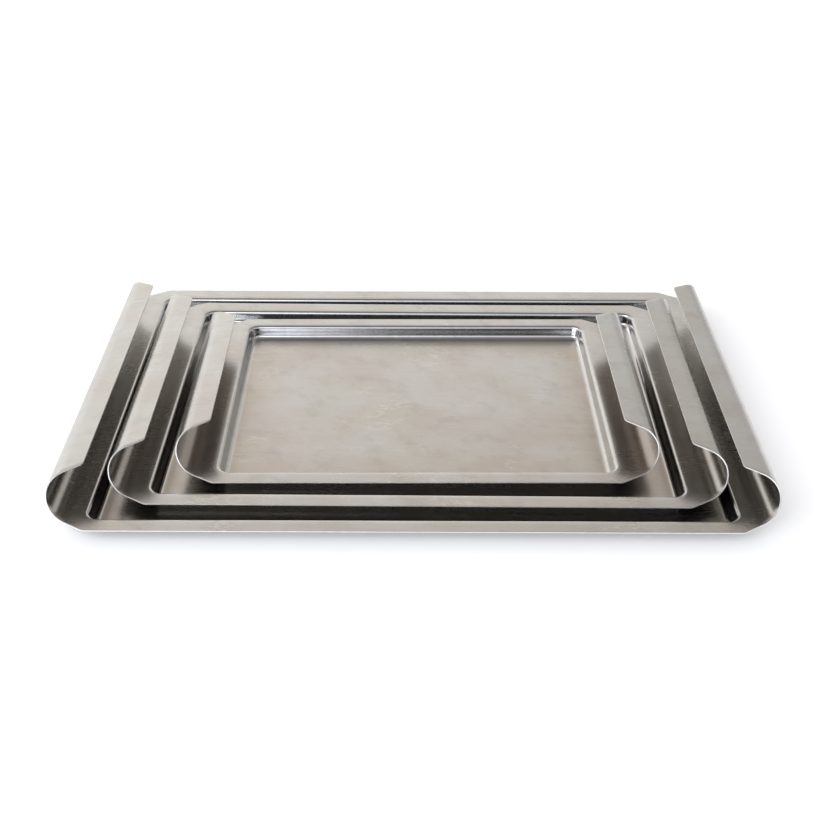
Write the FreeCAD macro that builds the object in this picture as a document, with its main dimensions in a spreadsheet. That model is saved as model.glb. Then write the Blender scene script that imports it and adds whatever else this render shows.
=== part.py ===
import FreeCAD, Part
import math
import os

import Sketcher

# A set of three nesting trays, each one stamped sheet of stainless steel: a shallow well pressed into
# a flat flange, both short ends rolled up and back inwards as handles, and the four corners of the
# blank sheared on a slant before rolling, so that the cut runs across the flange and round the roll.
#
# Frame: +X along the trays' length, +Y to the back, +Z up. The origin is under the middle of the
# large tray, on the surface that it stands on. Every tray is drawn in the same way about its own
# origin, under the middle of its well, and its Placement stands it in the tray below.

doc = FreeCAD.newDocument("nesting_trays")

# ---------------------------------------------------------------- driving dimensions, mm and degrees

SHARED_SIZES = [
    ("sheet_thickness", 1.0, "gauge of the sheet"),
    ("well_depth", 10.0, "flange top down to well floor top"),
    ("front_flange", 12.8, "front edge in to the well wall"),
    ("wall_slope", 15.0, "well wall, off the vertical"),
    ("well_corner_radius", 8.0, "well corner in plan, at the flange"),
    ("top_bend_radius", 3.0, "flange into well wall, on the top face"),
    ("floor_bend_radius", 4.0, "well wall into floor, on the top face"),
    ("roll_radius", 12.1, "inside of the rolled end"),
    ("roll_angle", 174.0, "turn of the rolled end"),
    ("lip_length", 12.0, "straight strip after the roll"),
    ("corner_slant", 31.2, "corner cut, off the tray's length"),
    ("cut_lead", 14.8, "start of the corner cut, in from the roll"),
    ("cut_corner_radius", 5.0, "rounding where the cut meets the long edge"),
    ("lip_corner_radius", 4.0, "rounding where the cut meets the lip"),
    ("nest_gap", 0.1, "play between one tray's floor and the next"),
]

TRAY_SIZES = [
    ("length", "overall, over both rolls"),
    ("width", "overall"),
    ("end_flange", "roll in to the well wall"),
    ("back_flange", "back edge in to the well wall"),
    ("shift_x", "middle of the tray from the middle of the set"),
    ("shift_y", "middle of the tray from the middle of the set"),
    ("turn", "degrees about the vertical"),
]

# From the bottom of the nest up: a name, then the TRAY_SIZES in their order.
TRAYS = [
    ("large", 500.0, 338.0, 15.2, 16.0, 0.0, 0.0, 0.0),
    ("medium", 433.0, 286.0, 16.6, 16.0, 3.8, 0.3, -0.3),
    ("small", 346.0, 232.0, 17.6, 12.8, 2.5, -2.0, 0.4),
]

CUTTER_MARGIN = 1.0     # how far a corner cutter reaches past either face of the sheet
CUTTER_REACH = 90.0     # how far it reaches out past the corner
CUTTER_LAP = 0.5        # how far neighbouring cutters overlap along the sheet
EDGE_TOLERANCE = 0.01   # how exactly an edge must lie at a height to belong to it


def fill_sheet():
    """The spreadsheet of driving dimensions: alias, value and meaning, one row each."""
    sheet = doc.addObject("Spreadsheet::Sheet", "Sizes")
    rows = list(SHARED_SIZES)
    for name, *values in TRAYS:
        for (key, note), value in zip(TRAY_SIZES, values):
            rows.append((name + "_" + key, value, name + " tray: " + note))
    for row, (alias, value, note) in enumerate(rows, start=1):
        sheet.set("A%d" % row, alias)
        sheet.set("B%d" % row, str(value))
        sheet.set("C%d" % row, note)
        sheet.setAlias("B%d" % row, alias)
    doc.recompute()
    return sheet


sizes = fill_sheet()

# ----------------------------------------------------- formulas for what follows from those dimensions

THICKNESS = "Sizes.sheet_thickness"
DEPTH = "Sizes.well_depth"
ROLL_INSIDE = "Sizes.roll_radius"
ROLL_OUTSIDE = "(Sizes.roll_radius + Sizes.sheet_thickness)"
ROLL_TURN = "(Sizes.roll_angle * 1deg)"
ROLL_AXIS_HEIGHT = "(Sizes.well_depth + Sizes.sheet_thickness + Sizes.roll_radius)"
ROLL_MIDDLE = "(Sizes.roll_radius + Sizes.sheet_thickness / 2)"
ROLL_GIRTH = "(Sizes.roll_angle / 180 * pi * %s)" % ROLL_MIDDLE
SLANT = "(Sizes.corner_slant * 1deg)"
WALL = "(Sizes.wall_slope * 1deg)"
CUTTER_INSIDE = "(Sizes.roll_radius - %s)" % CUTTER_MARGIN
CUTTER_OUTSIDE = "(Sizes.roll_radius + Sizes.sheet_thickness + %s)" % CUTTER_MARGIN
CUTTER_DEPTH = "(Sizes.sheet_thickness + %s)" % (2 * CUTTER_MARGIN)
# How much further out the underside of the well wall is than its top face, at one height.
WALL_OUTSET = "(Sizes.sheet_thickness / cos%s)" % WALL
# How far the well wall moves in over one sheet thickness of depth.
WALL_INSET = "(Sizes.sheet_thickness * tan%s)" % WALL


def roll_line(name):
    """From the tray's middle out to the line where the flange turns up into the roll."""
    return "(Sizes.%s_length / 2 - %s)" % (name, ROLL_OUTSIDE)


def half_width(name):
    """From the tray's middle out to its long edge."""
    return "(Sizes.%s_width / 2)" % name


def cut_edge(name, run):
    """From the tray's middle out to the slanted cut, a run of sheet past the roll line."""
    return "(%s - tan%s * (Sizes.cut_lead + %s))" % (half_width(name), SLANT, run)


def number(formula):
    """What a formula comes to, in millimetres or degrees."""
    result = sizes.evalExpression(formula)
    return float(getattr(result, "Value", result))


# ------------------------------------------------------------------------------------ sketch helpers


def origin_plane(body, role):
    """One of the body's own origin planes."""
    for feature in body.Origin.OriginFeatures:
        if feature.Role == role:
            return feature
    raise ValueError(role)


def new_sketch(body, name, role, height=None):
    """An empty sketch on one of the body's origin planes, set off from it by a formula if given."""
    sketch = body.newObject("Sketcher::SketchObject", name)
    sketch.AttachmentSupport = [(origin_plane(body, role), "")]
    sketch.MapMode = "FlatFace"
    if height:
        sketch.setExpression(".AttachmentOffset.Base.z", "%s * 1mm" % height)
    return sketch


def relate(sketch, kind, *elements):
    """Add a constraint that holds no size."""
    sketch.addConstraint(Sketcher.Constraint(kind, *elements))


def drive(sketch, kind, *elements_and_formula):
    """Add a constraint whose size is a formula."""
    *elements, formula = elements_and_formula
    value = number(formula)
    if kind == "Angle":
        value = math.radians(value)
    index = sketch.addConstraint(Sketcher.Constraint(kind, *elements, value))
    sketch.setExpression("Constraints[%d]" % index, formula)


def join_ends(sketch, *elements):
    """Join the end of each element to the start of the next."""
    for first, second in zip(elements, elements[1:]):
        relate(sketch, "Coincident", first, 2, second, 1)


def line(start, end):
    """A straight sketch element between two (x, y) points."""
    return Part.LineSegment(FreeCAD.Vector(*start, 0), FreeCAD.Vector(*end, 0))


def arc(centre, radius, first, last):
    """A circular sketch element, anticlockwise between two angles in radians."""
    circle = Part.Circle(FreeCAD.Vector(*centre, 0), FreeCAD.Vector(0, 0, 1), radius)
    return Part.ArcOfCircle(circle, first, last)


# ------------------------------------------------------------------------- flange and rolled ends


def draw_section(body, name):
    """The right half of the sheet's section: flange, roll and lip strip, one sheet thick."""
    under = number(DEPTH)
    top = number("%s + %s" % (DEPTH, THICKNESS))
    inside = number(ROLL_INSIDE)
    outside = number(ROLL_OUTSIDE)
    lip = number("Sizes.lip_length")
    bend_x = number(roll_line(name))
    centre = (bend_x, number(ROLL_AXIS_HEIGHT))
    first = -math.pi / 2
    last = first + math.radians(number(ROLL_TURN))

    def strip_point(distance, run):
        """A point on the lip strip: distance from the roll's axis, then run along the strip."""
        across = distance * math.cos(last) - run * math.sin(last)
        up = distance * math.sin(last) + run * math.cos(last)
        return (centre[0] + across, centre[1] + up)

    sketch = new_sketch(body, "section", "XZ_Plane")
    bottom, roll_out, strip_out, edge, strip_in, roll_in, upper, middle = sketch.addGeometry(
        [
            line((0, under), (bend_x, under)),
            arc(centre, outside, first, last),
            line(strip_point(outside, 0), strip_point(outside, lip)),
            line(strip_point(outside, lip), strip_point(inside, lip)),
            line(strip_point(inside, lip), strip_point(inside, 0)),
            arc(centre, inside, first, last),
            line((bend_x, top), (0, top)),
            line((0, top), (0, under)),
        ],
        False,
    )
    relate(sketch, "Tangent", bottom, 2, roll_out, 1)
    relate(sketch, "Tangent", roll_out, 2, strip_out, 1)
    join_ends(sketch, strip_out, edge, strip_in)
    relate(sketch, "Tangent", strip_in, 2, roll_in, 2)
    relate(sketch, "Tangent", roll_in, 1, upper, 1)
    join_ends(sketch, upper, middle, bottom)
    relate(sketch, "Coincident", roll_in, 3, roll_out, 3)
    relate(sketch, "Horizontal", bottom)
    relate(sketch, "Horizontal", upper)
    relate(sketch, "Vertical", middle)
    relate(sketch, "Perpendicular", strip_out, edge)
    relate(sketch, "PointOnObject", bottom, 1, -2)
    drive(sketch, "DistanceY", -1, 1, bottom, 1, DEPTH)
    drive(sketch, "DistanceX", -1, 1, bottom, 2, roll_line(name))
    drive(sketch, "Radius", roll_in, ROLL_INSIDE)
    drive(sketch, "Distance", middle, THICKNESS)
    drive(sketch, "Distance", edge, THICKNESS)
    drive(sketch, "Distance", strip_out, "Sizes.lip_length")
    drive(sketch, "Angle", strip_out, ROLL_TURN)
    return sketch


def add_sheet(body, name):
    """The back right quarter of the sheet, before its corner is cut."""
    pad = body.newObject("PartDesign::Pad", "sheet")
    pad.Profile = draw_section(body, name)
    pad.Reversed = True
    pad.setExpression("Length", half_width(name))
    return pad


# ----------------------------------------------------------------------------- slanted corner cuts


def add_pocket(body, name, sketch, depth, slope=None):
    """Cut down through the body from a sketch."""
    pocket = body.newObject("PartDesign::Pocket", name)
    pocket.Profile = sketch
    pocket.setExpression("Length", depth)
    if slope:
        pocket.setExpression("TaperAngle", slope)
    return pocket


def add_flange_cut(body, name):
    """The slanted cut across the flat flange, rounded where it leaves the long edge."""
    slant = math.radians(number(SLANT))
    radius = number("Sizes.cut_corner_radius")
    edge_y = number(half_width(name))
    round_x = number("%s - Sizes.cut_lead" % roll_line(name)) - radius * math.tan(slant / 2)
    end_x = number(roll_line(name)) + CUTTER_LAP
    end_y = number(cut_edge(name, CUTTER_LAP))
    far_y = edge_y + CUTTER_REACH
    centre = (round_x, edge_y - radius)
    leave = (centre[0] + radius * math.sin(slant), centre[1] + radius * math.cos(slant))

    above = "(Sizes.well_depth + Sizes.sheet_thickness + %s)" % CUTTER_MARGIN
    sketch = new_sketch(body, "flange_cut_outline", "XY_Plane", above)
    rounding, near, far, end, slanted = sketch.addGeometry(
        [
            arc(centre, radius, math.pi / 2 - slant, math.pi / 2),
            line((round_x, edge_y), (round_x, far_y)),
            line((round_x, far_y), (end_x, far_y)),
            line((end_x, far_y), (end_x, end_y)),
            line((end_x, end_y), leave),
        ],
        False,
    )
    join_ends(sketch, rounding, near, far, end, slanted)
    relate(sketch, "Tangent", slanted, 2, rounding, 1)
    relate(sketch, "Vertical", near)
    relate(sketch, "Horizontal", far)
    relate(sketch, "Vertical", end)
    relate(sketch, "Vertical", rounding, 3, rounding, 2)
    drive(sketch, "Radius", rounding, "Sizes.cut_corner_radius")
    drive(sketch, "DistanceY", -1, 1, rounding, 2, half_width(name))
    drive(sketch, "DistanceY", -1, 1, far, 1, "%s + %s" % (half_width(name), CUTTER_REACH))
    drive(sketch, "DistanceX", -1, 1, slanted, 1, "%s + %s" % (roll_line(name), CUTTER_LAP))
    drive(sketch, "DistanceY", -1, 1, slanted, 1, cut_edge(name, CUTTER_LAP))
    drive(sketch, "Angle", slanted, "180deg - " + SLANT)
    return add_pocket(body, "flange_cut", sketch, CUTTER_DEPTH)


def add_roll_cut(body, name):
    """The same cut round the roll: a rectangle wound round the roll's axis on a helix, so that it
    moves inwards as the sheet runs on."""
    start = number(cut_edge(name, 0))
    far = start + CUTTER_REACH
    inside = number(CUTTER_INSIDE)
    outside = number(CUTTER_OUTSIDE)

    sketch = new_sketch(body, "roll_cut_section", "YZ_Plane", roll_line(name))
    sketch.setExpression(".AttachmentOffset.Base.y", "%s * 1mm" % ROLL_AXIS_HEIGHT)
    low, right, high, left = sketch.addGeometry(
        [
            line((start, -outside), (far, -outside)),
            line((far, -outside), (far, -inside)),
            line((far, -inside), (start, -inside)),
            line((start, -inside), (start, -outside)),
        ],
        False,
    )
    join_ends(sketch, low, right, high, left, low)
    relate(sketch, "Horizontal", low)
    relate(sketch, "Horizontal", high)
    relate(sketch, "Vertical", right)
    relate(sketch, "Vertical", left)
    drive(sketch, "DistanceX", -1, 1, low, 1, cut_edge(name, 0))
    drive(sketch, "DistanceX", low, 1, low, 2, str(CUTTER_REACH))
    drive(sketch, "DistanceY", low, 1, -1, 1, CUTTER_OUTSIDE)
    drive(sketch, "DistanceY", high, 1, -1, 1, CUTTER_INSIDE)
    doc.recompute()

    cut = body.newObject("PartDesign::SubtractiveHelix", "roll_cut")
    cut.Profile = sketch
    cut.ReferenceAxis = (sketch, ["H_Axis"])
    cut.Mode = "pitch-turns-angle"
    cut.setExpression("Pitch", "2 * pi * %s * tan%s * 1mm" % (ROLL_MIDDLE, SLANT))
    cut.setExpression("Turns", "Sizes.roll_angle / 360")
    cut.Reversed = True
    return cut


def add_lip_cut(body, name):
    """The same cut across the lip strip, rounded where it meets the lip. The outline lies in the
    plane of the strip, X along the strip from the end of the roll."""
    slant = math.radians(number(SLANT))
    radius = number("Sizes.lip_corner_radius")
    lip = number("Sizes.lip_length")
    side_y = number(cut_edge(name, "%s - %s" % (ROLL_GIRTH, CUTTER_LAP)))
    lip_y = number(cut_edge(name, "%s + Sizes.lip_length" % ROLL_GIRTH))
    far_y = side_y + CUTTER_REACH
    centre = (lip - radius, lip_y + radius * math.tan(slant) - radius / math.cos(slant))
    leave = (centre[0] + radius * math.sin(slant), centre[1] + radius * math.cos(slant))

    sketch = new_sketch(body, "lip_cut_outline", "XY_Plane")
    tilt = FreeCAD.Rotation(FreeCAD.Vector(0, -1, 0), number(ROLL_TURN))
    sketch.AttachmentOffset = FreeCAD.Placement(FreeCAD.Vector(), tilt)
    sketch.setExpression(".AttachmentOffset.Rotation.Angle", ROLL_TURN)
    sketch.setExpression(
        ".AttachmentOffset.Base.x", "(%s + %s * sin%s) * 1mm" % (roll_line(name), CUTTER_INSIDE, ROLL_TURN)
    )
    sketch.setExpression(
        ".AttachmentOffset.Base.z", "(%s - %s * cos%s) * 1mm" % (ROLL_AXIS_HEIGHT, CUTTER_INSIDE, ROLL_TURN)
    )
    rounding, slanted, side, far, end = sketch.addGeometry(
        [
            arc(centre, radius, 0, math.pi / 2 - slant),
            line(leave, (-CUTTER_LAP, side_y)),
            line((-CUTTER_LAP, side_y), (-CUTTER_LAP, far_y)),
            line((-CUTTER_LAP, far_y), (lip, far_y)),
            line((lip, far_y), (lip, centre[1])),
        ],
        False,
    )
    relate(sketch, "Tangent", rounding, 2, slanted, 1)
    join_ends(sketch, slanted, side, far, end)
    relate(sketch, "Tangent", end, 2, rounding, 1)
    relate(sketch, "Vertical", side)
    relate(sketch, "Horizontal", far)
    relate(sketch, "Vertical", end)
    drive(sketch, "Radius", rounding, "Sizes.lip_corner_radius")
    drive(sketch, "DistanceX", -1, 1, end, 1, "Sizes.lip_length")
    drive(sketch, "DistanceX", slanted, 2, -1, 1, str(CUTTER_LAP))
    drive(sketch, "DistanceY", -1, 1, slanted, 2, cut_edge(name, "%s - %s" % (ROLL_GIRTH, CUTTER_LAP)))
    drive(sketch, "DistanceY", side, 1, side, 2, str(CUTTER_REACH))
    drive(sketch, "Angle", slanted, "180deg - " + SLANT)
    return add_pocket(body, "lip_cut", sketch, CUTTER_DEPTH)


def add_mirror(body, label, role):
    """Repeat the whole body so far on the other side of one of its origin planes."""
    mirror = body.newObject("PartDesign::Mirrored", label)
    mirror.TransformMode = "Whole shape"
    mirror.MirrorPlane = (origin_plane(body, role), [""])
    body.Tip = mirror
    return mirror


def add_front_quarter(body, _name):
    """The front right quarter of the sheet, as the back one."""
    return add_mirror(body, "front_quarter", "XZ_Plane")


def add_left_half(body, _name):
    """The left half of the sheet, as the right one."""
    return add_mirror(body, "left_half", "YZ_Plane")


# -------------------------------------------------------------------------------------- pressed well


def draw_well_outline(body, name, label, height, outset):
    """The well's outline in plan: a rectangle with rounded corners, grown outwards by an outset."""
    half_x_formula = "(%s - Sizes.%s_end_flange + %s)" % (roll_line(name), name, outset)
    back_y_formula = "(%s - Sizes.%s_back_flange + %s)" % (half_width(name), name, outset)
    front_y_formula = "(%s - Sizes.front_flange + %s)" % (half_width(name), outset)
    radius_formula = "(Sizes.well_corner_radius + %s)" % outset
    half_x = number(half_x_formula)
    back_y = number(back_y_formula)
    front_y = number(front_y_formula)
    radius = number(radius_formula)
    x = half_x - radius
    back_corner_y = back_y - radius
    front_corner_y = radius - front_y
    quarter = math.pi / 2

    sketch = new_sketch(body, label, "XY_Plane", height)
    right, back, left, front, *corners = sketch.addGeometry(
        [
            line((half_x, front_corner_y), (half_x, back_corner_y)),
            line((x, back_y), (-x, back_y)),
            line((-half_x, back_corner_y), (-half_x, front_corner_y)),
            line((-x, -front_y), (x, -front_y)),
            arc((x, back_corner_y), radius, 0, quarter),
            arc((-x, back_corner_y), radius, quarter, 2 * quarter),
            arc((-x, front_corner_y), radius, 2 * quarter, 3 * quarter),
            arc((x, front_corner_y), radius, 3 * quarter, 4 * quarter),
        ],
        False,
    )
    sides = [right, back, left, front, right]
    for before, corner, after in zip(sides, corners, sides[1:]):
        relate(sketch, "Tangent", before, 2, corner, 1)
        relate(sketch, "Tangent", corner, 2, after, 1)
    for corner in corners[1:]:
        relate(sketch, "Equal", corners[0], corner)
    for side in (right, left):
        relate(sketch, "Vertical", side)
    for side in (back, front):
        relate(sketch, "Horizontal", side)
    drive(sketch, "Radius", corners[0], radius_formula)
    drive(sketch, "DistanceX", -1, 1, right, 1, half_x_formula)
    drive(sketch, "DistanceX", left, 1, -1, 1, half_x_formula)
    drive(sketch, "DistanceY", -1, 1, back, 1, back_y_formula)
    drive(sketch, "DistanceY", front, 1, -1, 1, front_y_formula)
    return sketch


def add_well_block(body, name):
    """The outside of the well, as a solid block that hangs from the flange and narrows downwards."""
    pad = body.newObject("PartDesign::Pad", "well_block")
    outset = "(%s - %s)" % (WALL_OUTSET, WALL_INSET)
    pad.Profile = draw_well_outline(body, name, "well_block_outline", DEPTH, outset)
    pad.Reversed = True
    pad.setExpression("Length", DEPTH)
    pad.setExpression("TaperAngle", "-" + WALL)
    return pad


def add_well_hollow(body, name):
    """The inside of the well, which leaves a floor and a wall one sheet thick."""
    top = "(%s + %s)" % (DEPTH, THICKNESS)
    sketch = draw_well_outline(body, name, "well_hollow_outline", top, "0")
    return add_pocket(body, "well_hollow", sketch, DEPTH, "-" + WALL)


def well_edges(body, name, height):
    """Names of the edges that lie flat at one height and within the well's outline."""
    reach_x = number("%s - Sizes.%s_end_flange" % (roll_line(name), name)) + number(THICKNESS)
    reach_y = number("%s - Sizes.front_flange" % half_width(name)) + number(THICKNESS)
    found = []
    for index, edge in enumerate(body.Tip.Shape.Edges, start=1):
        box = edge.BoundBox
        flat = max(abs(box.ZMin - height), abs(box.ZMax - height)) < EDGE_TOLERANCE
        if flat and max(-box.XMin, box.XMax) < reach_x and max(-box.YMin, box.YMax) < reach_y:
            found.append("Edge%d" % index)
    return found


def add_bend(body, name, label, height, radius):
    """Round the ring of edges round the well at one height, given as formulas."""
    base = body.Tip
    edges = well_edges(body, name, number(height))
    fillet = body.newObject("PartDesign::Fillet", label)
    fillet.Base = (base, edges)
    fillet.setExpression("Radius", radius)
    body.Tip = fillet
    return fillet


def add_flange_bend_top(body, name):
    """The flange's turn down into the wall, on the top face."""
    return add_bend(body, name, "flange_bend_top", "%s + %s" % (DEPTH, THICKNESS), "Sizes.top_bend_radius")


def add_flange_bend_under(body, name):
    """The same turn on the underside, about the same axis."""
    return add_bend(body, name, "flange_bend_under", DEPTH, "Sizes.top_bend_radius - " + THICKNESS)


def add_floor_bend_top(body, name):
    """The wall's turn into the floor, on the top face."""
    return add_bend(body, name, "floor_bend_top", THICKNESS, "Sizes.floor_bend_radius")


def add_floor_bend_under(body, name):
    """The same turn on the underside, about the same axis."""
    return add_bend(body, name, "floor_bend_under", "0", "Sizes.floor_bend_radius + " + THICKNESS)


# ---------------------------------------------------------------------------------------- the trays


FEATURES = [
    add_sheet,
    add_flange_cut,
    add_roll_cut,
    add_lip_cut,
    add_front_quarter,
    add_left_half,
    add_well_block,
    add_well_hollow,
    add_flange_bend_top,
    add_flange_bend_under,
    add_floor_bend_top,
    add_floor_bend_under,
]


def make_tray(name, level):
    """One tray, standing in the tray below it."""
    body = doc.addObject("PartDesign::Body", name + "_tray")
    body.Label = name + "_tray"
    for add_feature in FEATURES:
        add_feature(body, name)
        doc.recompute()
    body.setExpression(".Placement.Base.x", "Sizes.%s_shift_x * 1mm" % name)
    body.setExpression(".Placement.Base.y", "Sizes.%s_shift_y * 1mm" % name)
    body.setExpression(".Placement.Base.z", "%d * (Sizes.sheet_thickness + Sizes.nest_gap) * 1mm" % level)
    body.setExpression(".Placement.Rotation.Angle", "Sizes.%s_turn * 1deg" % name)
    return body


def check(bodies):
    """Stop if any object failed or any tray isn't one valid solid."""
    doc.recompute()
    for thing in doc.Objects:
        if "Invalid" in thing.State or "Error" in thing.State:
            raise RuntimeError("%s: %s" % (thing.Label, thing.State))
    for body in bodies:
        shape = body.Shape
        if shape.isNull() or not shape.isValid() or len(shape.Solids) != 1:
            raise RuntimeError("%s isn't one valid solid" % body.Label)


def write(bodies):
    """One STEP file for each tray."""
    os.makedirs("parts", exist_ok=True)
    for body in bodies:
        body.Shape.exportStep("parts/%s.step" % body.Label)
        print("%s: %.1f cm3" % (body.Label, body.Shape.Volume / 1000))


trays = [make_tray(name, level) for level, (name, *_) in enumerate(TRAYS)]
check(trays)
write(trays)
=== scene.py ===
import math

import bpy
import numpy as np
from mathutils import Matrix, Vector


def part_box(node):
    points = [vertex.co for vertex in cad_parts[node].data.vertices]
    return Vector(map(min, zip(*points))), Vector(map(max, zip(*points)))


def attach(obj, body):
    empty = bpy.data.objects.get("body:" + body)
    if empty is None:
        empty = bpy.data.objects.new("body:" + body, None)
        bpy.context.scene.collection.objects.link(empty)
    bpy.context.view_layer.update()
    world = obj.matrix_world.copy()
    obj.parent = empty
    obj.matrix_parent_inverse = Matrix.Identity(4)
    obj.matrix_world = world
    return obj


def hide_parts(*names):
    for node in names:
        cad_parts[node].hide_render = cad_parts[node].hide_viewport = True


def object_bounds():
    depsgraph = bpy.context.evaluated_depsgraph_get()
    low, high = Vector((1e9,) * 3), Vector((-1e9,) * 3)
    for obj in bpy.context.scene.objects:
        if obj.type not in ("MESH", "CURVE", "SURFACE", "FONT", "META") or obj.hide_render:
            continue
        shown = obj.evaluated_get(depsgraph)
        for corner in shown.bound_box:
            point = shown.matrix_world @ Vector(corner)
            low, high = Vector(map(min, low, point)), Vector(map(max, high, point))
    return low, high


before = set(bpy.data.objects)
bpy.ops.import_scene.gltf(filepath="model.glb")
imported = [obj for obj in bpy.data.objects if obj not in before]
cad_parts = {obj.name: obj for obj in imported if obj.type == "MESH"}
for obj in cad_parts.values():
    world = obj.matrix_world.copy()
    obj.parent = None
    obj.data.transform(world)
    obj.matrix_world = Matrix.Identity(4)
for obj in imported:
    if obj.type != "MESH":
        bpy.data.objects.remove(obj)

cad_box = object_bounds()

MM = 0.001

# ------------------------------------------------------------------ sizes shared by the trays

THICKNESS = 1.0 * MM
WELL_DEPTH = 10.0 * MM
FRONT_FLANGE = 12.8 * MM            # front edge in to the well
BACK_FLANGE = {"large": 16.0 * MM, "medium": 16.0 * MM, "small": 12.8 * MM}   # the same at the back
END_FLANGE = {"large": 15.2 * MM, "medium": 16.6 * MM, "small": 17.6 * MM}   # roll in to the well
WALL_SLOPE = math.radians(15.0)     # off the vertical
WELL_CORNER = 8.0 * MM
TOP_BEND = 3.0 * MM
FLOOR_BEND = 4.0 * MM
ROLL_RADIUS = 12.1 * MM             # to the inside face
ROLL_ANGLE = math.radians(174.0)
LIP = 12.0 * MM                     # straight strip after the roll
SLANT = math.radians(31.2)          # corner cut, off the tray's length
CUT_LEAD = 14.8 * MM                # start of the corner cut, in from the roll
CUT_CORNER = 5.0 * MM
LIP_CORNER = 4.0 * MM
BACK_BOW = {"large": 0.0, "medium": 1.2 * MM, "small": 0.0}   # long back edge, at its middle
TURN = {"large": 0.0, "medium": math.radians(-0.3), "small": math.radians(0.4)}
TRAYS = ("large", "medium", "small")

DEBURR = 0.22 * MM                  # rounding of the sheared edges
FLANGE_TOP = WELL_DEPTH + THICKNESS
ROLL_AXIS = FLANGE_TOP + ROLL_RADIUS
GIRTH = ROLL_ANGLE * (ROLL_RADIUS + THICKNESS / 2)   # sheet used up by the roll
SHEET_END = GIRTH + LIP             # roll line out to the lip, along the sheet

# ------------------------------------------------------------------ fineness of the meshes

SPACING = 5.0 * MM                  # of the cells along the sides of the well
CORNER_STEPS = 12                   # round a corner; even
LINE_STEPS = 3                      # the share of them along the roll line
BEND_STEPS = 6
ROLL_STEPS = 44
RIM_STEPS = 3
CUT_CORNER_STEPS = 3
LIP_CORNER_STEPS = 6
CUT_STEPS = 4
FLANGE_RINGS = (0, 0.04, 0.35, 0.7)   # share of the way in from the sheared edge to the well
FLOOR_LEAD = 1.3 * MM               # cells at the rim of the well's floor
DENT_WAVES = 12
DENT_LENGTHS = (60 * MM, 220 * MM)   # shortest and longest wave
DENT_HEIGHT = 0.09 * MM
FLOOR_SIZE = 6.0
FLOOR_GAP = 0.2 * MM

# ------------------------------------------------------------------ finish, with painted shade and a painted highlight

CLEAN_STEEL = (0.55, 0.544, 0.53, 1)
PINK_STAIN = (0.50, 0.448, 0.412, 1)
OLIVE_STAIN = (0.49, 0.452, 0.388, 1)
DRIED_WATER = (0.72, 0.70, 0.66, 1)
DIRT = (0.16, 0.13, 0.11, 1)
UNDERSIDE_SHADE_COLOUR = (0.125, 0.121, 0.117, 1)   # painted shade for the underside of the flange and the well
ROLL_SHADE_COLOUR = (0.30, 0.25, 0.215, 1)    # painted shade, brownish, inside the rolls
ROLL_SHADE_SHARE = {"large": 0.05, "medium": 0.3, "small": 0.75}   # how much painted shade each tray's rolls get, 0 to 1
# painted highlight: near white on the sheared edges, for the bright lines along them
EDGE_HIGHLIGHT_COLOUR = (0.88, 0.87, 0.85, 1)
CUT_ROUGHNESS = 0.5
SATIN = 0.255                       # roughness of the sheet
DRAWN_SATIN = 0.19                  # the same where the press has rubbed it
GRIME = 0.9                         # along the foot of the well's walls
MIDDLE_GRIME = 0.1                  # in the middle of its floor
GRIME_REACH = 45.0 * MM


def turned(points, angle):
    """Points turned about the vertical through the origin."""
    c, s = math.cos(angle), math.sin(angle)
    x, y = points[:, 0].copy(), points[:, 1].copy()
    points[:, 0], points[:, 1] = c * x - s * y, s * x + c * y
    return points


def tray_sizes(name):
    """Centre, underside height, length and width of a tray, measured on its CAD node."""
    low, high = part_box(name + "_tray")
    centre = (low + high) / 2
    points = np.array([v.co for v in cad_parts[name + "_tray"].data.vertices])
    flat = turned(points - np.array(centre), -TURN[name])
    return Vector((centre.x, centre.y, low.z)), np.ptp(flat[:, 0]), np.ptp(flat[:, 1])


# ------------------------------------------------------------------ the flat blank of a tray
# Along the sheet, "run" is the distance past the roll line; across it, "y" is from the middle.


def cut_y(half_y, run, inset):
    """The slanted corner cut, an inset inside the sheet's edge."""
    return half_y - math.tan(SLANT) * (run + CUT_LEAD) - inset / math.cos(SLANT)


def arc(centre, radius, first, last, steps):
    """Points of an arc whose angles are off the +y direction, towards +run."""
    angles = np.linspace(first, last, steps + 1)
    return np.column_stack([centre[0] + radius * np.sin(angles), centre[1] + radius * np.cos(angles)])


def line(first, last, steps):
    """Evenly spaced points, both ends included."""
    return np.linspace(first, last, steps + 1)


def flange_corner(half_x, half_y, well_centre, inset):
    """The flange's outline at +x +y: up the roll line, along the cut and onto the long side."""
    end_y = cut_y(half_y, 0, inset)
    turn_centre = (-CUT_LEAD - CUT_CORNER * math.tan(SLANT / 2), half_y - CUT_CORNER)
    rounding = arc(turn_centre, CUT_CORNER - inset, SLANT, 0, CUT_CORNER_STEPS)
    path = [
        line((0, well_centre[1]), (0, end_y), LINE_STEPS)[:-1],
        line((0, end_y), rounding[0], CUT_STEPS)[:-1],
        rounding,
        line(rounding[-1], (well_centre[0] - half_x, half_y - inset), 2)[1:],
    ]
    return np.concatenate(path) + (half_x, 0)


def roll_rows(half_y, inset):
    """(run, half-width) of each row of the roll and strip, out to the lip's rounded corner."""
    turn_run = SHEET_END - LIP_CORNER
    turn_centre = (turn_run, cut_y(half_y, turn_run, LIP_CORNER))
    rounding = arc(turn_centre, LIP_CORNER - inset, SLANT, math.pi / 2, LIP_CORNER_STEPS)
    runs = np.linspace(0, GIRTH, ROLL_STEPS + 1)[1:]
    runs = np.append(runs, np.linspace(GIRTH, rounding[0][0], 4)[1:-1])
    slanted = np.column_stack([runs, cut_y(half_y, runs, inset)])
    return np.concatenate([slanted, rounding])


def well_corner(half_x, half_y, inset):
    """The corner at +x +y of the well's outline, an inset inside its outline at the flange."""
    radius = WELL_CORNER - inset
    centre = (half_x - WELL_CORNER, half_y - WELL_CORNER)
    return arc(centre, radius, math.pi / 2, 0, CORNER_STEPS)


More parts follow.
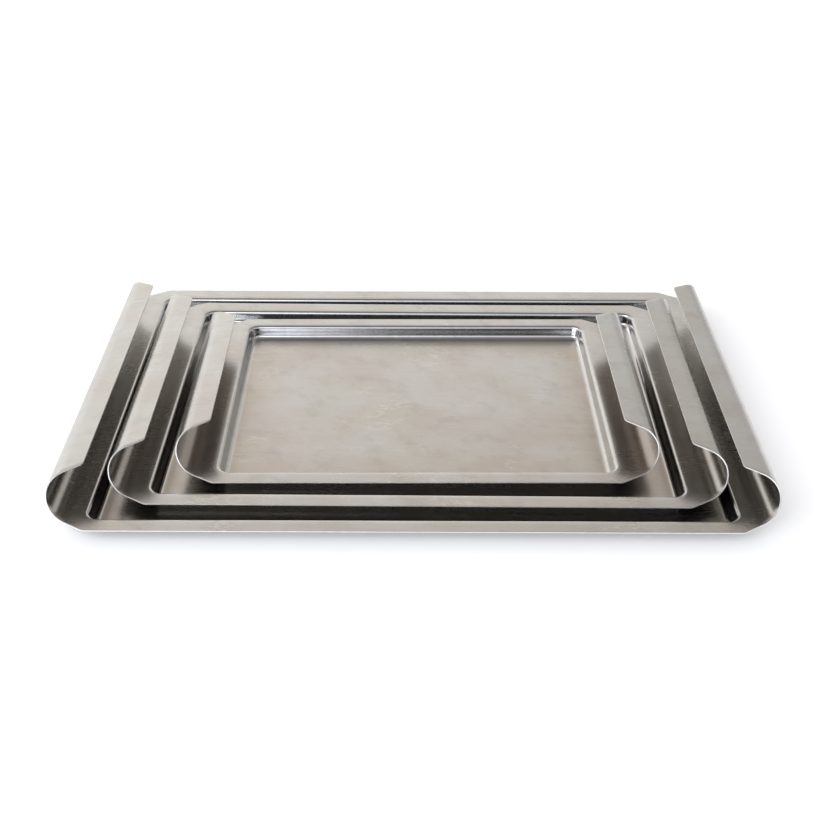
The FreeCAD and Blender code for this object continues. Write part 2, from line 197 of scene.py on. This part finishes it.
def ring(corner, along, across):
    """A closed ring, counterclockwise, from its corner at +x +y and the cell counts of its sides."""
    corners = [corner, (corner * (-1, 1))[::-1], -corner, (corner * (1, -1))[::-1]]
    parts = []
    for this, following, count in zip(corners, corners[1:] + corners[:1], (along, across) * 2):
        parts.append(this)
        parts.append(line(this[-1], following[0], count)[1:-1])
    return np.concatenate(parts)


# ------------------------------------------------------------------ the drawn well


def well_profile():
    """(inset, height, inward lean of the normal) from the flange down to the flat floor."""
    turn = math.pi / 2 - WALL_SLOPE
    top_start = -TOP_BEND * math.tan(turn / 2)
    floor_start = WELL_DEPTH * math.tan(WALL_SLOPE) + FLOOR_BEND * math.tan(turn / 2)
    rows = []
    for lean in np.linspace(0, turn, BEND_STEPS + 1):
        drop = TOP_BEND * (1 - math.cos(lean))
        rows.append((top_start + TOP_BEND * math.sin(lean), FLANGE_TOP - drop, lean))
    upper = rows[-1]
    lower_height = THICKNESS + FLOOR_BEND * (1 - math.cos(turn))
    lower_inset = floor_start - FLOOR_BEND * math.sin(turn)
    rows.append(((upper[0] + lower_inset) / 2, (upper[1] + lower_height) / 2, turn))
    for lean in np.linspace(turn, 0, BEND_STEPS + 1):
        rise = FLOOR_BEND * (1 - math.cos(lean))
        rows.append((floor_start - FLOOR_BEND * math.sin(lean), THICKNESS + rise, lean))
    return rows


# ------------------------------------------------------------------ meshes


class Sheet:
    """Collects a tray's points and quads in the tray's own frame.

    Each point has its place on the flat blank, where the top face comes to lie once the blank is
    drawn and rolled, the top face's normal there, and its depth below that face."""

    def __init__(self, half_x, well, well_y, roll_shade_share):
        self.half_x = half_x        # middle to roll line
        self.well = well            # the well's middle to its walls, in x and y
        self.well_middle = np.array((0, well_y))
        self.roll_shade_share = roll_shade_share    # share of painted shade inside the rolls, 0 to 1
        self.flats = np.empty((0, 2))
        self.tops = np.empty((0, 3))
        self.normals = np.empty((0, 3))
        self.depths = np.empty(0)
        self.quads = []

    def add(self, flats, tops, normals, depth=0.0):
        first = len(self.flats)
        self.flats = np.vstack([self.flats, flats])
        self.tops = np.vstack([self.tops, tops])
        self.normals = np.vstack([self.normals, normals])
        self.depths = np.append(self.depths, np.full(len(flats), depth))
        return np.arange(first, first + len(flats))

    def add_rolled(self, flats, depth=0.0):
        """Points of the flange, the roll or the strip after it."""
        side = np.sign(flats[:, 0])
        from_middle = np.abs(flats[:, 0])
        run = np.maximum(from_middle - self.half_x, 0)
        turn = np.minimum(run / GIRTH, 1) * ROLL_ANGLE
        strip = np.maximum(run - GIRTH, 0)
        x = np.minimum(from_middle, self.half_x) + ROLL_RADIUS * np.sin(turn) + strip * np.cos(turn)
        z = ROLL_AXIS - ROLL_RADIUS * np.cos(turn) + strip * np.sin(turn)
        tops = np.column_stack([side * x, flats[:, 1], z])
        normals = np.column_stack([-side * np.sin(turn), 0 * x, np.cos(turn)])
        return self.add(flats, tops, normals, depth)

    def join(self, outer, inner):
        """Quads between two rows of the same number of points."""
        self.quads += zip(outer[:-1], outer[1:], inner[1:], inner[:-1])

    def join_rings(self, outer, inner):
        self.join(np.append(outer, outer[0]), np.append(inner, inner[0]))

    def add_underside(self):
        """A copy of the top face, one thickness below it and facing down. Returns its first point."""
        first = len(self.flats)
        self.quads += [tuple(first + i for i in quad[::-1]) for quad in self.quads]
        self.add(self.flats, self.tops, self.normals, THICKNESS)
        return first


def grid_ring(count_x, count_y):
    """Places of a grid's edge points in the order of a ring: from just below its corner at +x +y."""
    lead = CORNER_STEPS // 2
    places = [(count_x, j) for j in range(count_y - lead, count_y + 1)]
    places += [(i, count_y) for i in range(count_x - 1, -1, -1)]
    places += [(0, j) for j in range(count_y - 1, -1, -1)]
    places += [(i, 0) for i in range(1, count_x + 1)]
    return places + [(count_x, j) for j in range(1, count_y - lead)]


def grid_lines(half, count):
    """Stations of the floor's grid, finer by the corners."""
    lead = CORNER_STEPS // 2
    inner = half - lead * FLOOR_LEAD
    middle = line(-inner, inner, count)
    return np.concatenate([line(-half, -inner, lead), middle[1:], line(inner, half, lead)[1:]])


def add_flange(sheet, half_y, well, along, across):
    """The flange's rings, from just inside the sheared edge to the start of the well's bend."""
    well_centre = (well[0] - WELL_CORNER, well[1] - WELL_CORNER)
    edge = ring(flange_corner(sheet.half_x, half_y, well_centre, DEBURR), along, across)
    bend = ring(well_corner(*well, well_profile()[0][0]), along, across) + sheet.well_middle
    rings = [sheet.add_rolled(edge * (1 - part) + bend * part) for part in FLANGE_RINGS]
    for outer, inner in zip(rings[:-1], rings[1:]):
        sheet.join_rings(outer, inner)
    return rings


def add_well(sheet, outer, well, along, across):
    """The well's bends and walls, then its flat floor."""
    outward = ring(arc((0, 0), 1, math.pi / 2, 0, CORNER_STEPS), along, across)
    for inset, height, lean in well_profile():
        flats = ring(well_corner(*well, inset), along, across) + sheet.well_middle
        level = np.ones(len(flats))
        tops = np.column_stack([flats, height * level])
        normals = np.column_stack([-math.sin(lean) * outward, math.cos(lean) * level])
        inner = sheet.add(flats, tops, normals)
        sheet.join_rings(outer, inner)
        outer = inner

    xs = grid_lines(well[0] - WELL_CORNER, along)
    ys = grid_lines(well[1] - WELL_CORNER, across)
    flats = np.array([(x, y) for x in xs for y in ys]) + sheet.well_middle
    level = np.ones(len(flats))
    tops = np.column_stack([flats, THICKNESS * level])
    grid = sheet.add(flats, tops, np.column_stack([0 * flats, level])).reshape(len(xs), len(ys))
    edge = np.array([grid[place] for place in grid_ring(len(xs) - 1, len(ys) - 1)])
    sheet.join_rings(outer, edge)
    for outer, inner in zip(grid[1:], grid[:-1]):
        sheet.join(outer, inner)


def add_roll(sheet, half_y, base):
    """One rolled end, from its row of points on the roll line. Returns its edge, out and back."""
    flats = sheet.flats[base]
    side = np.sign(flats[0, 0])
    share = flats[:, 1] / np.abs(flats[0, 1])
    rows = [base]
    for run, half in roll_rows(half_y, DEBURR):
        along = np.full(len(share), side * (sheet.half_x + run))
        rows.append(sheet.add_rolled(np.column_stack([along, share * half])))
        sheet.join(rows[-1], rows[-2])
    out = [row[0] for row in rows]
    back = [row[-1] for row in rows[::-1]]
    return out + list(rows[-1][1:-1]) + back


def add_rim(sheet, loop, underside):
    """Closes the sheared edge, with both of its corners rounded."""
    flats = sheet.flats[loop]
    ahead = np.roll(flats, -1, axis=0) - flats
    ahead /= np.linalg.norm(ahead, axis=1)[:, None]
    mean = ahead + np.roll(ahead, 1, axis=0)
    mean /= np.linalg.norm(mean, axis=1)[:, None]
    outward = np.column_stack([mean[:, 1], -mean[:, 0]])
    angles = np.linspace(0, math.pi / 2, RIM_STEPS + 1)[1:]
    rows = [(DEBURR * math.sin(a), DEBURR * (1 - math.cos(a))) for a in angles]
    rows += [(out, THICKNESS - depth) for out, depth in rows[::-1]]
    above = loop
    for out, depth in rows:
        below = sheet.add_rolled(flats + outward * out, depth)
        sheet.join_rings(below, above)
        above = below
    sheet.join_rings(loop + underside, above)


def dents(flats, seed):
    """The sheet's slight unevenness, as a lift of its face from 0 to DENT_HEIGHT."""
    random = np.random.default_rng(seed)
    total = np.zeros(len(flats))
    for _ in range(DENT_WAVES):
        length = random.uniform(*DENT_LENGTHS)
        angle = random.uniform(0, math.pi)
        phase = random.uniform(0, 2 * math.pi)
        direction = np.array([math.cos(angle), math.sin(angle)])
        total += np.sin(2 * math.pi * (flats @ direction) / length + phase)
    return DENT_HEIGHT * (0.5 + 0.5 * np.tanh(total / math.sqrt(DENT_WAVES)))


def tray_sheet(name, length, width):
    """The whole sheet of one tray."""
    half_y = width / 2
    half_x = length / 2 - THICKNESS - ROLL_RADIUS
    well = (half_x - END_FLANGE[name], half_y - (FRONT_FLANGE + BACK_FLANGE[name]) / 2)
    well_y = (FRONT_FLANGE - BACK_FLANGE[name]) / 2
    along = round(2 * well[0] / SPACING)
    across = round(2 * well[1] / SPACING)
    sheet = Sheet(half_x, well, well_y, ROLL_SHADE_SHARE[name])
    flange = add_flange(sheet, half_y, well, along, across)
    add_well(sheet, flange[-1], well, along, across)

    edge = flange[0]
    corner = CORNER_STEPS + 1
    right_start = len(edge) - (across - 1) - (LINE_STEPS + 1)
    left_start = corner + (along - 1) + corner - (LINE_STEPS + 1)
    reach = 2 * (LINE_STEPS + 1) + across - 1
    right = add_roll(sheet, half_y, np.roll(edge, -right_start)[:reach])
    left = add_roll(sheet, half_y, edge[left_start:left_start + reach])
    back = edge[LINE_STEPS + 1:left_start]
    front = edge[left_start + reach:right_start]
    loop = np.concatenate([right, back, left, front])
    underside = sheet.add_underside()
    add_rim(sheet, loop, underside)
    return sheet


def pulled_in(sheet, half_y, flange, bow):
    """Drawing the well has pulled the middle of the back edge in, so that it bows."""
    part = np.clip((sheet.tops[:, 1] - half_y + flange) / flange, 0, 1)
    middle = np.clip(1 - (sheet.flats[:, 0] / sheet.half_x) ** 2, 0, 1)
    sheet.tops[:, 1] -= bow * part * middle


def grime(sheet):
    """How stained the floor of the well is: most along the foot of its walls."""
    low = np.clip(2 * (FLANGE_TOP - sheet.tops[:, 2]) / WELL_DEPTH - 1, 0, 1)
    from_wall = np.min(np.array(sheet.well) - np.abs(sheet.flats - sheet.well_middle), axis=1)
    near = 1 - np.clip(from_wall / GRIME_REACH, 0, 1)
    return low * (MIDDLE_GRIME + (GRIME - MIDDLE_GRIME) * near ** 1.5)


def rolled(sheet):
    """0 on the flange and 1 on the rolled ends."""
    run = (np.abs(sheet.flats[:, 0]) - sheet.half_x) / ROLL_RADIUS
    return np.clip(run + 0.5, 0, 1)


def painted_underside_shade(sheet):
    """Where the painted shade goes: 1 on the underside of the flange and the well, which lie in shade."""
    return np.clip(2 * sheet.depths / THICKNESS - 1, 0, 1) * (1 - rolled(sheet))


def painted_roll_shade(sheet):
    """How much brownish painted shade each point gets: only the inner face of a roll gets it."""
    return np.clip(1 - 2 * sheet.depths / THICKNESS, 0, 1) * rolled(sheet) * sheet.roll_shade_share


def drawn(sheet):
    """Where the press has rubbed the sheet: on the bends and the walls of the well."""
    lean = np.arccos(np.clip(sheet.normals[:, 2], -1, 1))
    return np.clip(3 * lean, 0, 1) * (np.abs(sheet.flats[:, 0]) < sheet.half_x)


def cut_edge(sheet):
    """1 on the sheared edge and 0 on both faces."""
    return np.clip(2 * np.sin(np.pi * sheet.depths / THICKNESS), 0, 1)


POINT_MEASURES = (grime, painted_underside_shade, painted_roll_shade, drawn, cut_edge)


def add_tray(name, material):
    """One tray's piece, where its CAD node is."""
    centre, length, width = tray_sizes(name)
    sheet = tray_sheet(name, length, width)
    pulled_in(sheet, width / 2, BACK_FLANGE[name], BACK_BOW[name])
    lift = dents(sheet.flats, TRAYS.index(name)) - sheet.depths
    points = turned(sheet.tops + sheet.normals * lift[:, None], TURN[name]) + np.array(centre)
    mesh = bpy.data.meshes.new(name + "_sheet")
    mesh.from_pydata(points, [], [tuple(int(i) for i in quad) for quad in sheet.quads])
    mesh.polygons.foreach_set("use_smooth", [True] * len(mesh.polygons))
    blank = mesh.attributes.new("blank", "FLOAT_VECTOR", "POINT")
    places = np.column_stack([sheet.flats, -sheet.depths])
    blank.data.foreach_set("vector", places.ravel())
    for measure in POINT_MEASURES:
        values = mesh.attributes.new(measure.__name__, "FLOAT", "POINT")
        values.data.foreach_set("value", measure(sheet))
    mesh.materials.append(material)
    mesh.validate()
    tray = bpy.data.objects.new(name + "_sheet", mesh)
    bpy.context.scene.collection.objects.link(tray)
    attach(tray, name)
    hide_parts(name + "_tray")
    return tray


# ------------------------------------------------------------------ finish


def map_range(tree, value, source, target, smooth=True):
    """A node that carries a value from one range to another and holds it at the ends."""
    node = tree.nodes.new("ShaderNodeMapRange")
    node.interpolation_type = "SMOOTHSTEP" if smooth else "LINEAR"
    tree.links.new(value, node.inputs["Value"])
    for socket, number in zip(("From Min", "From Max", "To Min", "To Max"), source + target):
        node.inputs[socket].default_value = number
    return node.outputs["Result"]


def calculate(tree, operation, *values):
    """A maths node, whose values are numbers or other nodes' outputs."""
    node = tree.nodes.new("ShaderNodeMath")
    node.operation = operation
    for socket, value in zip(node.inputs, values):
        if isinstance(value, bpy.types.NodeSocket):
            tree.links.new(value, socket)
        else:
            socket.default_value = value
    return node.outputs["Value"]


def mix(tree, share, first, second):
    """first where share is 0 and second where it is 1, as numbers."""
    node = tree.nodes.new("ShaderNodeMix")
    for socket, value in zip((node.inputs[0], node.inputs[2], node.inputs[3]), (share, first, second)):
        if isinstance(value, bpy.types.NodeSocket):
            tree.links.new(value, socket)
        else:
            socket.default_value = value
    return node.outputs[0]


def blend_colours(tree, share, first, second, how="MIX"):
    """The same with colours."""
    node = tree.nodes.new("ShaderNodeMix")
    node.data_type = "RGBA"
    node.blend_type = how
    node.clamp_result = True
    for socket, value in zip((node.inputs[0], node.inputs[6], node.inputs[7]), (share, first, second)):
        if isinstance(value, bpy.types.NodeSocket):
            tree.links.new(value, socket)
        else:
            socket.default_value = value
    return node.outputs[2]


def stretched(tree, place, scale, angle=0.0):
    """The place on the sheet, turned and then scaled along and across it, in cells per metre."""
    node = tree.nodes.new("ShaderNodeMapping")
    node.vector_type = "POINT"
    tree.links.new(place, node.inputs["Vector"])
    node.inputs["Rotation"].default_value = (0, 0, math.radians(angle))
    spread = tree.nodes.new("ShaderNodeVectorMath")
    spread.operation = "MULTIPLY"
    tree.links.new(node.outputs["Vector"], spread.inputs[0])
    spread.inputs[1].default_value = (*scale, 100)
    return spread.outputs["Vector"]


def cloud(tree, place, detail=3.0, roughness=0.55):
    """Soft noise from 0 to 1 with one cell per unit of place."""
    node = tree.nodes.new("ShaderNodeTexNoise")
    tree.links.new(place, node.inputs["Vector"])
    node.inputs["Scale"].default_value = 1
    node.inputs["Detail"].default_value = detail
    node.inputs["Roughness"].default_value = roughness
    return node.outputs["Fac"]


def cells(tree, place):
    """(distance to the nearest scattered point, that point's random number)."""
    node = tree.nodes.new("ShaderNodeTexVoronoi")
    tree.links.new(place, node.inputs["Vector"])
    node.inputs["Scale"].default_value = 1
    split = tree.nodes.new("ShaderNodeSeparateColor")
    tree.links.new(node.outputs["Color"], split.inputs[0])
    return node.outputs["Distance"], split.outputs[0]


def attribute(tree, name):
    """A value that each point of a tray's mesh carries."""
    node = tree.nodes.new("ShaderNodeAttribute")
    node.attribute_name = name
    return node


def grain(tree, place):
    """The fine lines that the rolling mill leaves along the sheet."""
    return cloud(tree, stretched(tree, place, (22, 1100)), 2.0, 0.6)


def wiping(tree, place):
    """Faint streaks of cleaning along the sheet."""
    return cloud(tree, stretched(tree, place, (6, 190), 2), 4.0, 0.65)


def mottling(tree, place):
    """Cloudy patches a few centimetres across."""
    return cloud(tree, stretched(tree, place, (15, 20), 20), 4.0, 0.58)


def smudges(tree, place):
    """Small grey smudges from handling."""
    return cloud(tree, stretched(tree, place, (42, 55), 35), 4.0, 0.6)


def smears(tree, place):
    """Thin pale wisps of dried water, in a few places: 1 in a wisp."""
    wavy = cloud(tree, stretched(tree, place, (38, 120), 8), 3.0, 0.55)
    off = calculate(tree, "ABSOLUTE", calculate(tree, "SUBTRACT", wavy, 0.5))
    wisps = map_range(tree, off, (0.0, 0.03), (1.0, 0.0))
    where = cloud(tree, stretched(tree, place, (12, 15), 75), 3.0)
    return calculate(tree, "MULTIPLY", wisps, map_range(tree, where, (0.53, 0.64), (0.0, 1.0)))


def slow_cloud(tree, place):
    """Where the stains lean to one hue or the other."""
    return cloud(tree, stretched(tree, place, (9, 11), 60), 2.0, 0.5)


def scratches(tree, place, angle, scale, share):
    """Sparse hairlines in one direction: 1 on a line."""
    distance, random = cells(tree, stretched(tree, place, scale, angle))
    hairline = map_range(tree, distance, (0.0, 0.09), (1.0, 0.0))
    return calculate(tree, "MULTIPLY", hairline, calculate(tree, "LESS_THAN", random, share))


def water_marks(tree, place):
    """Rings left by a few dried drops: 1 on a ring."""
    distance, random = cells(tree, stretched(tree, place, (30, 34), 12))
    size = map_range(tree, random, (0.0, 0.2), (0.08, 0.24), False)
    off = calculate(tree, "ABSOLUTE", calculate(tree, "SUBTRACT", distance, size))
    outline = map_range(tree, off, (0.0, 0.035), (1.0, 0.0))
    return calculate(tree, "MULTIPLY", outline, calculate(tree, "LESS_THAN", random, 0.2))


def specks(tree, place, spacing, share, size):
    """Scattered specks: 1 on a speck."""
    distance, random = cells(tree, stretched(tree, place, (spacing, spacing), 40))
    speck = map_range(tree, distance, (size * 0.4, size), (1.0, 0.0))
    return calculate(tree, "MULTIPLY", speck, calculate(tree, "LESS_THAN", random, share))


def all_scratches(tree, place):
    """Hairlines mostly across the sheet, and some along it."""
    across = scratches(tree, place, 12, (260, 9), 0.05)
    along = scratches(tree, place, 97, (300, 14), 0.035)
    return calculate(tree, "MAXIMUM", across, along)


def pale_marks(tree, place, hairlines):
    """How much each point is covered by something paler than the steel."""
    marks = specks(tree, place, 60, 0.03, 0.07)
    for mark, strength in ((water_marks(tree, place), 0.2), (hairlines, 0.3), (smears(tree, place), 0.5)):
        marks = calculate(tree, "MAXIMUM", calculate(tree, "MULTIPLY", mark, strength), marks)
    return marks


def staining(tree, place, grimy, rubbed, streaks):
    """How stained each point is: in cloudy patches, more where it is grimy, none where it is rubbed."""
    patches = map_range(tree, mottling(tree, place), (0.35, 0.66), (0.0, 0.55))
    stain = calculate(tree, "ADD", patches, grimy)
    stain = calculate(tree, "MULTIPLY", stain, map_range(tree, streaks, (0.3, 0.7), (0.6, 1.25)))
    return mix(tree, rubbed, stain, 0.0)


def shading(tree, place, lines, streaks):
    """A grey that darkens the steel a little in its grain, streaks and smudges."""
    tone = map_range(tree, lines, (0.25, 0.75), (0.975, 1.022), False)
    tone = calculate(tree, "MULTIPLY", tone, map_range(tree, streaks, (0.3, 0.7), (0.97, 1.02)))
    smudged = map_range(tree, smudges(tree, place), (0.5, 0.68), (1.01, 0.93))
    tone = calculate(tree, "MULTIPLY", tone, smudged)
    grey = tree.nodes.new("ShaderNodeCombineColor")
    for socket in grey.inputs:
        tree.links.new(tone, socket)
    return grey.outputs[0]


def steel_colour(tree, place, stain, grey, marks):
    """The sheet's colour on its two worn faces, before its undersides and edges are set apart."""
    hue = map_range(tree, slow_cloud(tree, place), (0.35, 0.65), (0.0, 1.0))
    stained = blend_colours(tree, hue, PINK_STAIN, OLIVE_STAIN)
    colour = blend_colours(tree, stain, CLEAN_STEEL, stained)
    colour = blend_colours(tree, 1.0, colour, grey, "MULTIPLY")
    colour = blend_colours(tree, marks, colour, DRIED_WATER)
    dirt = calculate(tree, "MULTIPLY", specks(tree, place, 75, 0.02, 0.08), 0.7)
    return blend_colours(tree, dirt, colour, DIRT)


def steel_roughness(tree, lines, stain, marks, rubbed, cut):
    """A little rougher in the grain, under stains and under marks."""
    rough = map_range(tree, lines, (0.25, 0.75), (SATIN - 0.01, SATIN + 0.01), False)
    rough = calculate(tree, "ADD", rough, map_range(tree, stain, (0.0, 1.0), (0.0, 0.04)))
    rough = calculate(tree, "ADD", rough, calculate(tree, "MULTIPLY", marks, 0.06))
    rough = mix(tree, rubbed, rough, DRAWN_SATIN)
    return mix(tree, cut, rough, CUT_ROUGHNESS)


def steel_bump(tree, lines, hairlines, rubbed):
    """The grain stands up and the hairlines are cut in, except where the press has rubbed them off."""
    height = calculate(tree, "MULTIPLY", lines, 0.35)
    height = calculate(tree, "SUBTRACT", height, calculate(tree, "MULTIPLY", hairlines, 0.6))
    height = mix(tree, rubbed, height, 0.0)
    bump = tree.nodes.new("ShaderNodeBump")
    bump.inputs["Distance"].default_value = 0.02 * MM
    bump.inputs["Strength"].default_value = 0.05
    tree.links.new(height, bump.inputs["Height"])
    return bump.outputs["Normal"]


def satin_steel():
    """Stainless sheet, satin from the mill and dulled, stained and scratched by use, with painted shade
    on its undersides and inside its rolls and a painted highlight on its sheared edges.
    """
    material = bpy.data.materials.new("satin_steel")
    material.use_nodes = True
    tree = material.node_tree
    shader = tree.nodes["Principled BSDF"]
    shader.inputs["Metallic"].default_value = 1
    place = attribute(tree, "blank").outputs["Vector"]
    grimy, under, inside, rubbed, cut = (
        attribute(tree, measure.__name__).outputs["Fac"] for measure in POINT_MEASURES
    )

    lines = grain(tree, place)
    streaks = wiping(tree, place)
    hairlines = all_scratches(tree, place)
    marks = pale_marks(tree, place, hairlines)
    stain = staining(tree, place, grimy, rubbed, streaks)
    colour = steel_colour(tree, place, stain, shading(tree, place, lines, streaks), marks)
    # painted shade: the underside of the flange and the well darkened, as it lies in shade
    colour = blend_colours(tree, under, colour, UNDERSIDE_SHADE_COLOUR)
    # painted shade: the inner faces of the rolls darkened to a brownish grey
    colour = blend_colours(tree, inside, colour, ROLL_SHADE_COLOUR)
    # painted highlight: the sheared edges lightened to near white for the bright lines along them
    colour = blend_colours(tree, cut, colour, EDGE_HIGHLIGHT_COLOUR)
    tree.links.new(colour, shader.inputs["Base Color"])
    rough = steel_roughness(tree, lines, stain, marks, rubbed, cut)
    tree.links.new(rough, shader.inputs["Roughness"])
    tree.links.new(steel_bump(tree, lines, hairlines, rubbed), shader.inputs["Normal"])
    return material


# ------------------------------------------------------------------ floor, light and camera

CAMERA_PLACE = (-0.0019, -0.76, 0.50986)
TILT = math.radians(34.32)          # down from level
YAW = math.radians(0.18)
LEAN = math.radians(0.325)
LENS = 50                           # focal length and
SENSOR = 36                         # sensor width, in mm as the camera wants them


def add_floor():
    """The white table that the large tray stands on."""
    mesh = bpy.data.meshes.new("floor")
    far = FLOOR_SIZE / 2
    corners = [(-far, -far, 0), (far, -far, 0), (far, far, 0), (-far, far, 0)]
    mesh.from_pydata(corners, [], [(0, 1, 2, 3)])
    material = bpy.data.materials.new("floor")
    material.use_nodes = True
    shader = material.node_tree.nodes["Principled BSDF"]
    shader.inputs["Base Color"].default_value = (0.9, 0.9, 0.9, 1)
    shader.inputs["Emission Color"].default_value = (1, 1, 1, 1)
    shader.inputs["Emission Strength"].default_value = 0.3
    shader.inputs["Roughness"].default_value = 0.8
    mesh.materials.append(material)
    floor = bpy.data.objects.new("floor", mesh)
    floor.location.z = cad_box[0].z - FLOOR_GAP
    bpy.context.scene.collection.objects.link(floor)


def add_camera():
    """A camera in front of the trays, looking down at them, and a touch off square and off level."""
    forward = Vector((math.sin(YAW), math.cos(YAW), 0))
    ahead = math.cos(TILT) * forward - math.sin(TILT) * Vector((0, 0, 1))
    level = Vector((math.cos(YAW), -math.sin(YAW), 0))
    up = level.cross(ahead)
    right = math.cos(LEAN) * level + math.sin(LEAN) * up
    up = math.cos(LEAN) * up - math.sin(LEAN) * level
    data = bpy.data.cameras.new("camera")
    data.lens = LENS
    data.sensor_width = SENSOR
    camera = bpy.data.objects.new("camera", data)
    axes = Matrix((right, up, -ahead)).transposed()
    camera.matrix_world = Matrix.Translation(CAMERA_PLACE) @ axes.to_4x4()
    bpy.context.scene.collection.objects.link(camera)
    bpy.context.scene.camera = camera


def area_light(name, place, aim, size, power):
    """A soft rectangular lamp at a place, turned to shine at another."""
    data = bpy.data.lights.new(name, "AREA")
    data.shape = "RECTANGLE"
    data.size, data.size_y = size
    data.energy = power
    light = bpy.data.objects.new(name, data)
    light.location = place
    light.rotation_euler = (Vector(aim) - Vector(place)).to_track_quat("-Z", "Y").to_euler()
    bpy.context.scene.collection.objects.link(light)
    return light


def back_light(tree, x, z):
    """Behind the trays: bright low down, and dimmer upwards and to the right."""
    light = map_range(tree, z, (0.45, 0.76), (1.37, 0.83))
    light = calculate(tree, "MULTIPLY", light, map_range(tree, x, (-0.25, 0.0), (0.93, 0.87)))
    return calculate(tree, "MULTIPLY", light, map_range(tree, x, (0.0, 0.5), (1.0, 0.57)))


def front_light(tree, x, z):
    """In front: a low window on the left, dark beside it, and a pale wall above both."""
    window = map_range(tree, x, (-0.1, -0.04), (3.6, 0.01))
    window = calculate(tree, "MULTIPLY", window, map_range(tree, z, (0.05, 0.24), (1.0, 0.02)))
    wall = map_range(tree, x, (-0.3, 0.2), (2.4, 1.0))
    return mix(tree, map_range(tree, z, (0.25, 0.5), (0.0, 1.0)), window, wall)


def add_world():
    """The room around the trays, by direction. The camera itself sees plain white."""
    world = bpy.data.worlds.new("studio")
    bpy.context.scene.world = world
    world.use_nodes = True
    tree = world.node_tree
    place = tree.nodes.new("ShaderNodeTexCoord").outputs["Generated"]
    split = tree.nodes.new("ShaderNodeSeparateXYZ")
    tree.links.new(place, split.inputs[0])
    x, y, z = split.outputs
    front = map_range(tree, y, (0.0, -0.35), (0.0, 1.0))
    overhead = map_range(tree, z, (0.8, 0.93), (0.0, 1.0))
    seen = tree.nodes.new("ShaderNodeLightPath").outputs["Is Camera Ray"]

    light = mix(tree, front, back_light(tree, x, z), front_light(tree, x, z))
    light = mix(tree, overhead, light, 0.3)
    light = mix(tree, seen, light, 1.0)
    tree.links.new(light, tree.nodes["Background"].inputs["Strength"])

    warmth = map_range(tree, z, (0.42, 0.65), (0.0, 1.0))
    tint = blend_colours(tree, warmth, (1.0, 0.99, 0.97, 1), (1.0, 0.94, 0.875, 1))
    tint = blend_colours(tree, front, tint, (0.86, 0.9, 1.0, 1))
    tint = blend_colours(tree, seen, tint, (1, 1, 1, 1))
    tree.links.new(tint, tree.nodes["Background"].inputs["Color"])


add_world()
add_floor()
add_camera()
steel = satin_steel()
for name in TRAYS:
    add_tray(name, steel)
area_light("key", (-0.9, -0.9, 1.1), (0, 0, 0), (1.2, 0.9), 5)

view = bpy.context.scene.view_settings
view.view_transform = "Standard"

bpy.context.view_layer.update()
